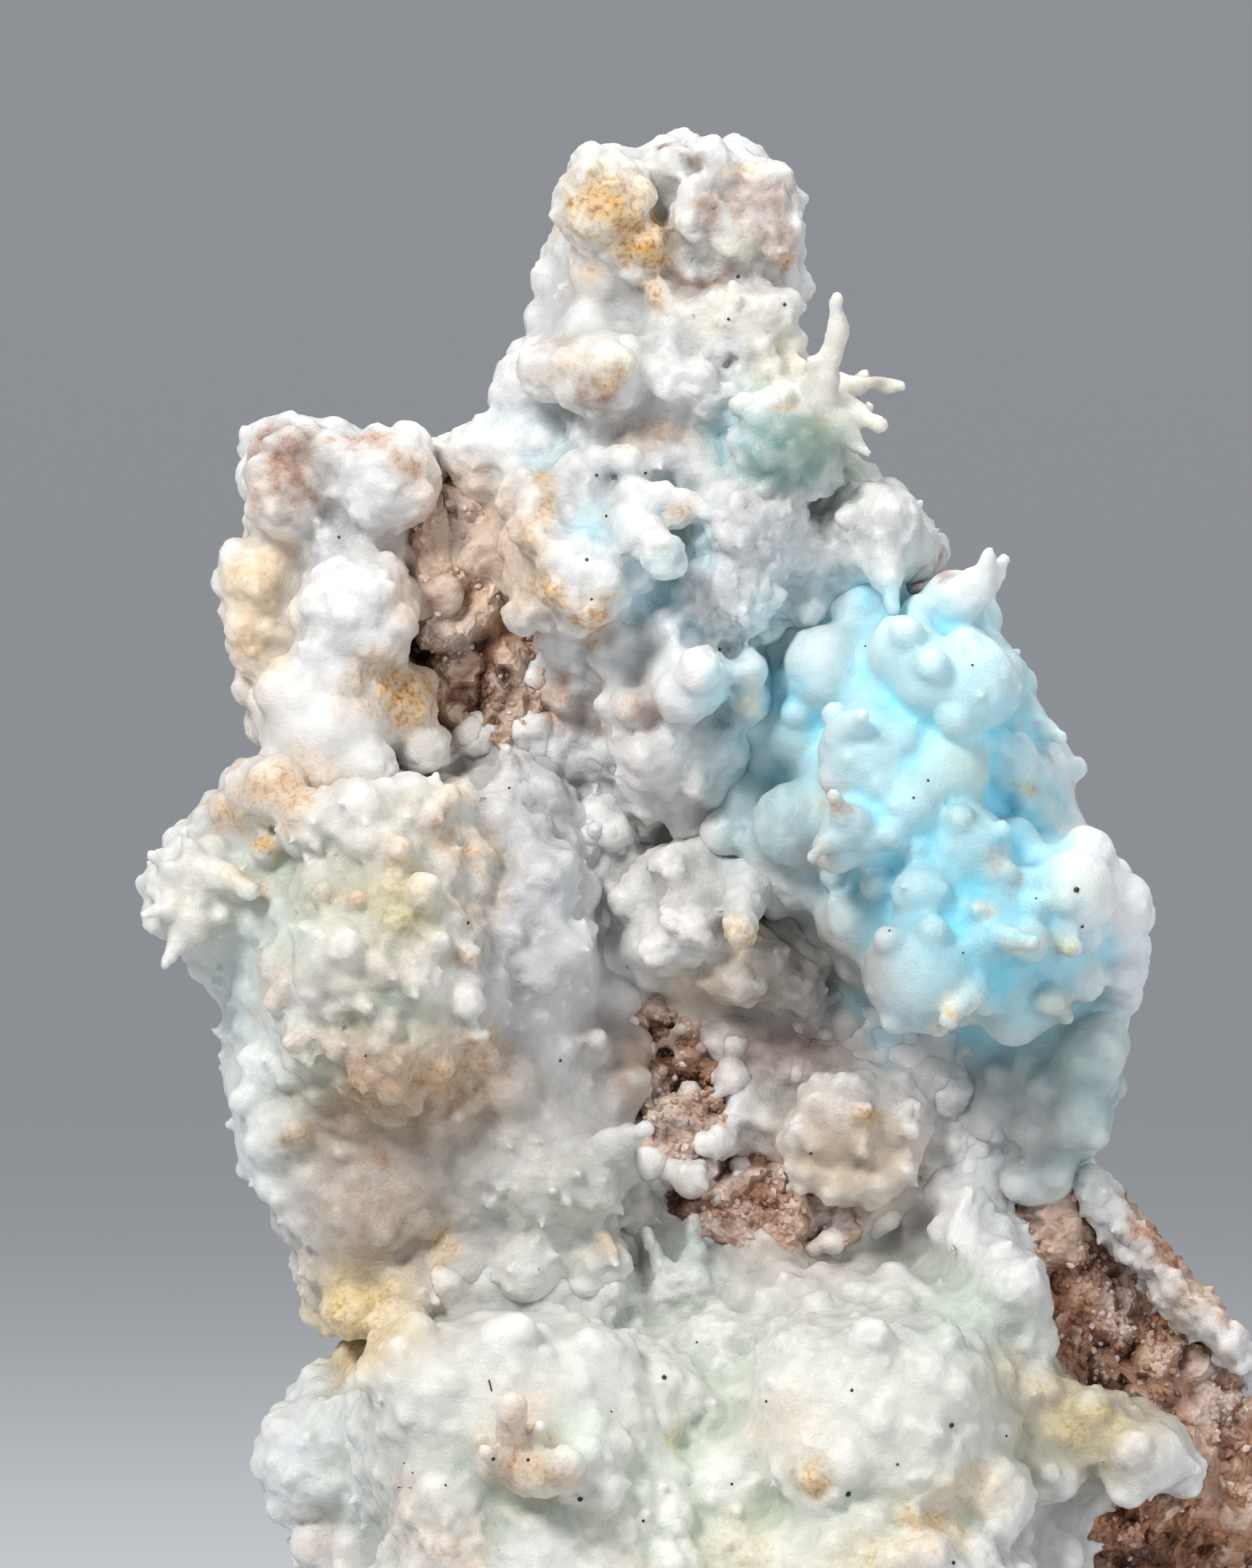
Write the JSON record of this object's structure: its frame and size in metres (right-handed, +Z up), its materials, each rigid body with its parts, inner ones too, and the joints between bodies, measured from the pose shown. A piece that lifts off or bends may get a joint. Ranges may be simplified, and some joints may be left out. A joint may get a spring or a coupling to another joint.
{
  "type": "aragonite specimen",
  "caption": "Standing mineral specimen: knobbly white, cream and sky-blue aragonite grown on a brown iron-stained rock, with a flat foot to rest on.",
  "frame": {"origin": "on the plane of the flat foot, under the middle of the specimen's bounding box", "axes": "+Z up from the foot to the summit, +Y from the crusted face that the viewer sees towards the bare back, +X to the viewer's right"},
  "size_m": [0.1004, 0.059, 0.1338],
  "materials": {
    "iron_stained_rock": "rough, sugary",
    "base_aragonite": "waxy, translucent",
    "cream_aragonite": "waxy, translucent",
    "spire_aragonite": "waxy, translucent",
    "summit_aragonite": "waxy, translucent",
    "blue_aragonite": "waxy, translucent",
    "centre_aragonite": "waxy, translucent",
    "tan_aragonite": "waxy, translucent",
    "rim_aragonite": "frosted"
  },
  "bodies": {
    "root": {"brown_rock": "iron_stained_rock", "base_growth": "base_aragonite", "cream_growth": "cream_aragonite", "spire_growth": "spire_aragonite", "summit_growth": "summit_aragonite", "blue_growth": "blue_aragonite", "centre_growth": "centre_aragonite", "tan_rosette": "tan_aragonite", "rim_crust": "rim_aragonite"}
  },
  "joints": []
}
